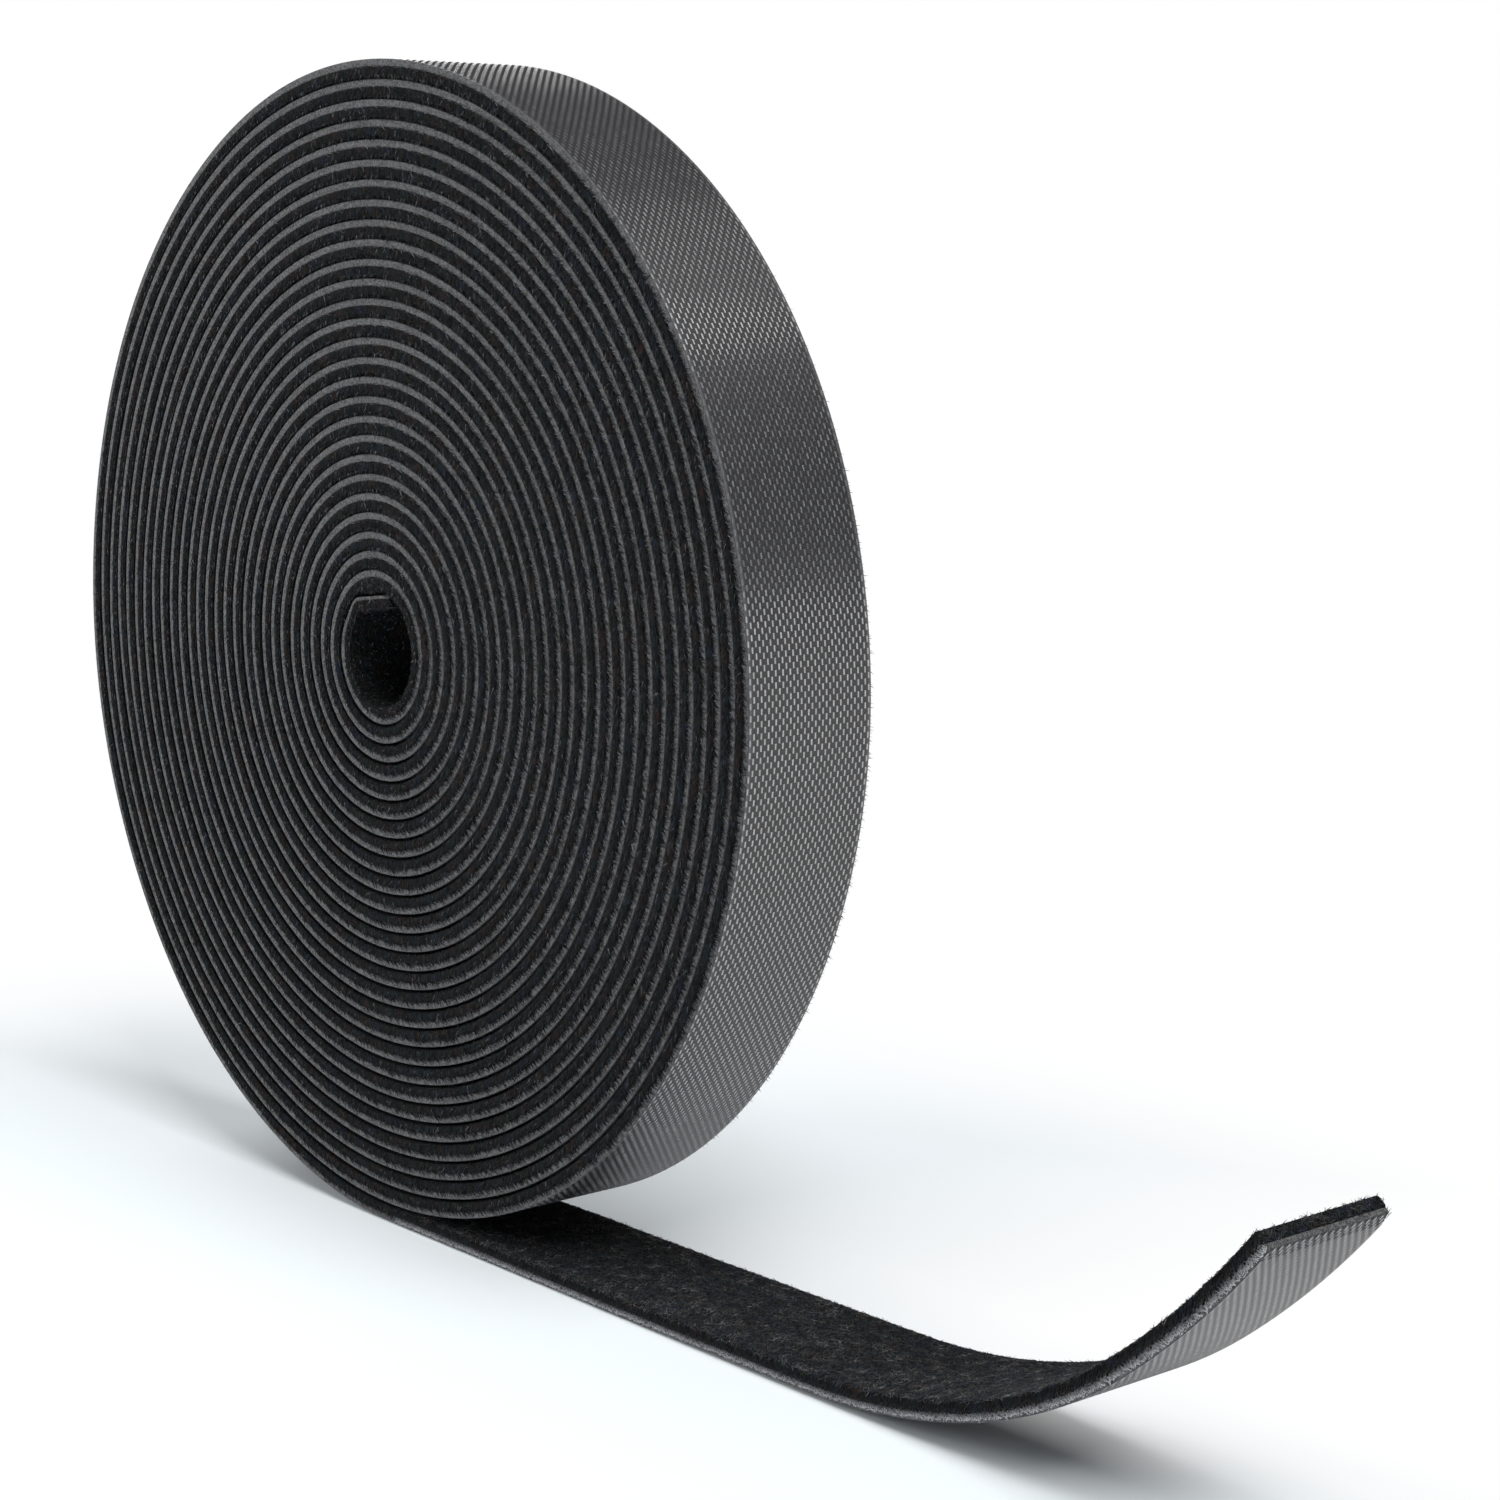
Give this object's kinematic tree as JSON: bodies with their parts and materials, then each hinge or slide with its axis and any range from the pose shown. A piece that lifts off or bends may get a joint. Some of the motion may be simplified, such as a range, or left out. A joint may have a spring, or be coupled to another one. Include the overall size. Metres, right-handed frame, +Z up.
{
  "type": "hook and loop tape roll",
  "caption": "Coreless roll of hook and loop tape, woven hook layer outside and napped loop layer inside, with the free end laid out flat and curling up at its tip.",
  "frame": {"origin": "on the table under the roll's axis, halfway across the tape's width", "axes": "+Z up, +Y along the roll's axis, +X along the table towards the tail's tip"},
  "size_m": [0.2436, 0.02, 0.1633],
  "materials": {
    "hook_weave": "woven nylon with bright floats",
    "loop_pile": "matte brushed nap"
  },
  "bodies": {
    "roll": {"hook_tape_coil": "hook_weave", "loop_tape_coil": "loop_pile"},
    "tail_1": {"hook_tape_tail_1": "hook_weave", "loop_tape_tail_1": "loop_pile"},
    "tail_2": {"hook_tape_tail_2": "hook_weave", "loop_tape_tail_2": "loop_pile"},
    "tail_3": {"hook_tape_tail_3": "hook_weave", "loop_tape_tail_3": "loop_pile"},
    "tail_4": {"hook_tape_tail_4": "hook_weave", "loop_tape_tail_4": "loop_pile"},
    "tail_5": {"hook_tape_tail_5": "hook_weave", "loop_tape_tail_5": "loop_pile"},
    "tail_6": {"hook_tape_tail_6": "hook_weave", "loop_tape_tail_6": "loop_pile"},
    "tail_7": {"hook_tape_tail_7": "hook_weave", "loop_tape_tail_7": "loop_pile"},
    "tail_8": {"hook_tape_tail_8": "hook_weave", "loop_tape_tail_8": "loop_pile"},
    "tail_9": {"hook_tape_tail_9": "hook_weave", "loop_tape_tail_9": "loop_pile"}
  },
  "joints": [
    {"name": "wind_1", "type": "hinge", "parent": "roll", "child": "tail_1", "pos_m": [0.01115, 0, 0.001], "axis": [0, -1, 0], "range_deg": [0, 12.7]},
    {"name": "wind_2", "type": "hinge", "parent": "tail_1", "child": "tail_2", "pos_m": [0.02948, 0, 0.001], "axis": [0, -1, 0], "range_deg": [0, 12.7]},
    {"name": "wind_3", "type": "hinge", "parent": "tail_2", "child": "tail_3", "pos_m": [0.04781, 0, 0.001], "axis": [0, -1, 0], "range_deg": [0, 12.7]},
    {"name": "wind_4", "type": "hinge", "parent": "tail_3", "child": "tail_4", "pos_m": [0.06615, 0, 0.001], "axis": [0, -1, 0], "range_deg": [0, 12.7]},
    {"name": "wind_5", "type": "hinge", "parent": "tail_4", "child": "tail_5", "pos_m": [0.08448, 0, 0.001], "axis": [0, -1, 0], "range_deg": [0, 12.7]},
    {"name": "curl_1", "type": "hinge", "parent": "tail_5", "child": "tail_6", "pos_m": [0.10257, 0, 0.00149], "axis": [0, -1, 0], "range_deg": [-12.6, 0], "stiffness_Nm_per_rad": 0.03},
    {"name": "curl_2", "type": "hinge", "parent": "tail_6", "child": "tail_7", "pos_m": [0.11999, 0, 0.0054], "axis": [0, -1, 0], "range_deg": [-12.6, 0], "stiffness_Nm_per_rad": 0.03},
    {"name": "curl_3", "type": "hinge", "parent": "tail_7", "child": "tail_8", "pos_m": [0.13613, 0, 0.01304], "axis": [0, -1, 0], "range_deg": [-12.6, 0], "stiffness_Nm_per_rad": 0.03},
    {"name": "curl_4", "type": "hinge", "parent": "tail_8", "child": "tail_9", "pos_m": [0.15021, 0, 0.02402], "axis": [0, -1, 0], "range_deg": [-12.6, 0], "stiffness_Nm_per_rad": 0.03}
  ],
  "couplings": [
    {"joint": "wind_2", "follows": "wind_1", "ratio": 1},
    {"joint": "wind_3", "follows": "wind_1", "ratio": 1},
    {"joint": "wind_4", "follows": "wind_1", "ratio": 1},
    {"joint": "wind_5", "follows": "wind_1", "ratio": 1},
    {"joint": "curl_2", "follows": "curl_1", "ratio": 1},
    {"joint": "curl_3", "follows": "curl_1", "ratio": 1},
    {"joint": "curl_4", "follows": "curl_1", "ratio": 1}
  ]
}
